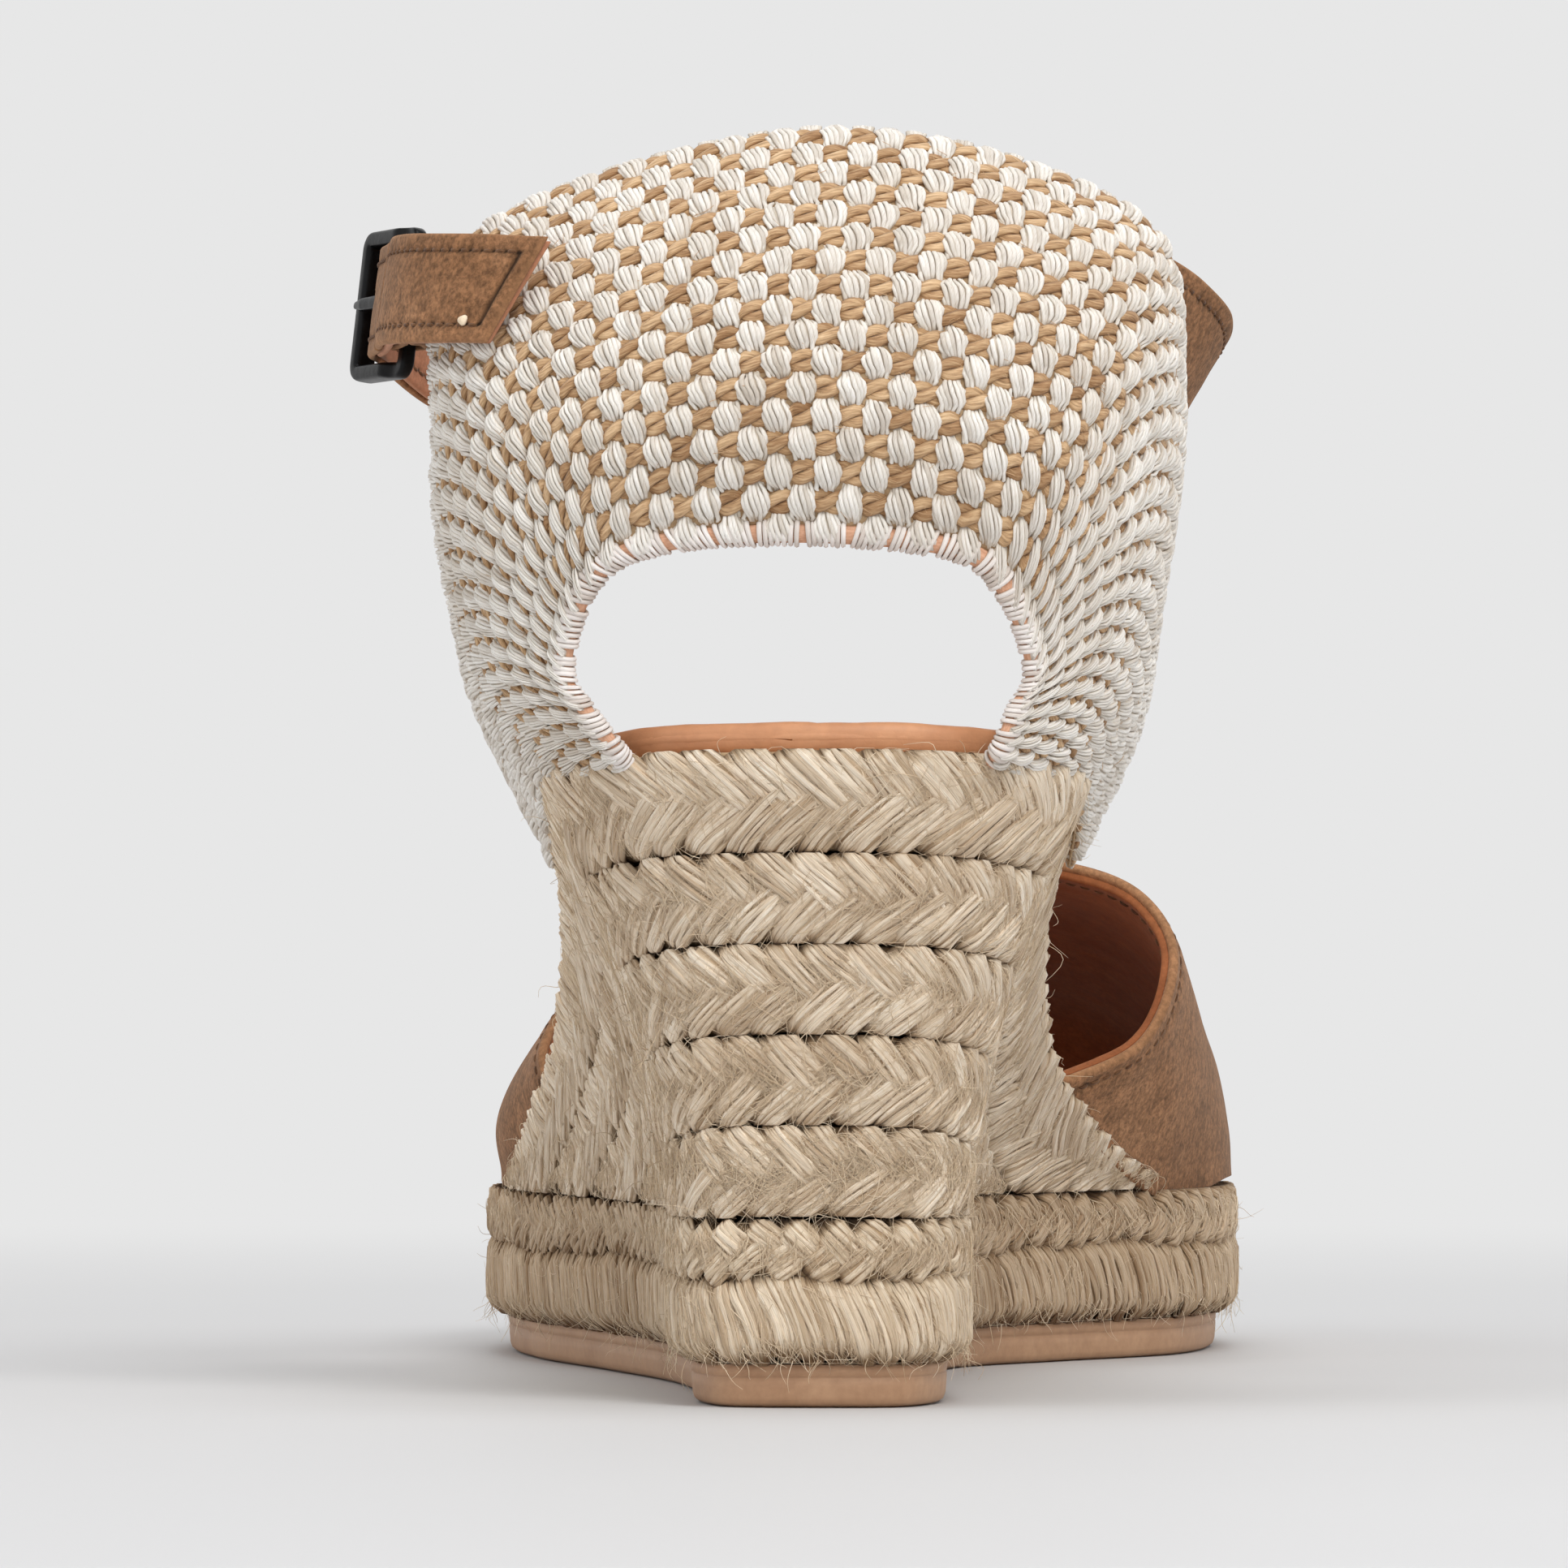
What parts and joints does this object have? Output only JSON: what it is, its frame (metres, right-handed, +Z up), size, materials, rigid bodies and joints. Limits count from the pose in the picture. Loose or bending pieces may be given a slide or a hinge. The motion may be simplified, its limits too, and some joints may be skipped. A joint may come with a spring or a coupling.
{
  "type": "wedge sandal",
  "caption": "Left-foot peep-toe espadrille wedge with a jute-wrapped sole, a suede vamp, a woven elastic heel cuff and a buckled ankle strap.",
  "frame": {"origin": "middle of the heel's tread, on the floor", "axes": "+Z up, +Y towards the toe, +X towards the inner (medial) side of this left shoe"},
  "size_m": [0.1006, 0.2555, 0.1412],
  "materials": {
    "rubber": "smooth moulded, semi-matt",
    "jute": "braided natural jute, matt",
    "core": "pressed cork, matt",
    "board": "fibreboard, matt",
    "foam": "foam, matt",
    "leather": "smooth tan leather",
    "lining": "smooth lining leather",
    "suede": "suede, napped",
    "weave": "cotton and jute woven elastic",
    "metal": "black nickel, polished"
  },
  "bodies": {
    "sole": {"rubber_outsole": "rubber", "jute_base_course": "jute", "jute_sole_filler": "jute", "jute_course_1": "jute", "jute_course_2": "jute", "jute_course_3": "jute", "jute_course_4": "jute", "jute_course_5": "jute", "wedge_core": "core", "insole_board": "board", "insole_cushion": "foam", "leather_sock": "leather", "suede_vamp": "suede", "vamp_lining": "lining", "cuff_anchor_lateral": "weave", "cuff_anchor_medial": "weave"},
    "cuff": {"woven_elastic_cuff": "weave"},
    "strap": {"buckle_tab": "suede", "ankle_strap_suede": "suede", "ankle_strap_backing": "lining"},
    "tail": {"strap_tail_suede": "suede", "strap_tail_backing": "lining"},
    "buckle": {"buckle_frame": "metal"},
    "prong": {"buckle_prong": "metal"}
  },
  "joints": [
    {"name": "cuff_tilt", "type": "hinge", "parent": "sole", "child": "cuff", "pos_m": [0, 0.004, 0.058], "axis": [1, 0, 0], "range_deg": [-15, 15]},
    {"name": "strap_lift", "type": "hinge", "parent": "cuff", "child": "strap", "pos_m": [0, 0.006, 0.122], "axis": [1, 0, 0], "range_deg": [-4, 3]},
    {"name": "tail_lift", "type": "hinge", "parent": "strap", "child": "tail", "pos_m": [-0.04898, 0.00136, 0.12312], "axis": [-0.1375, -0.0218, -0.9903], "range_deg": [0, 60]},
    {"name": "buckle_swing", "type": "hinge", "parent": "strap", "child": "buckle", "pos_m": [-0.0468, 0.015, 0.1232], "axis": [0.107, 0.0584, 0.9925], "range_deg": [0, 15]},
    {"name": "prong_pivot", "type": "hinge", "parent": "buckle", "child": "prong", "pos_m": [-0.0468, 0.015, 0.1232], "axis": [0.107, 0.0584, 0.9925], "range_deg": [0, 50]}
  ]
}
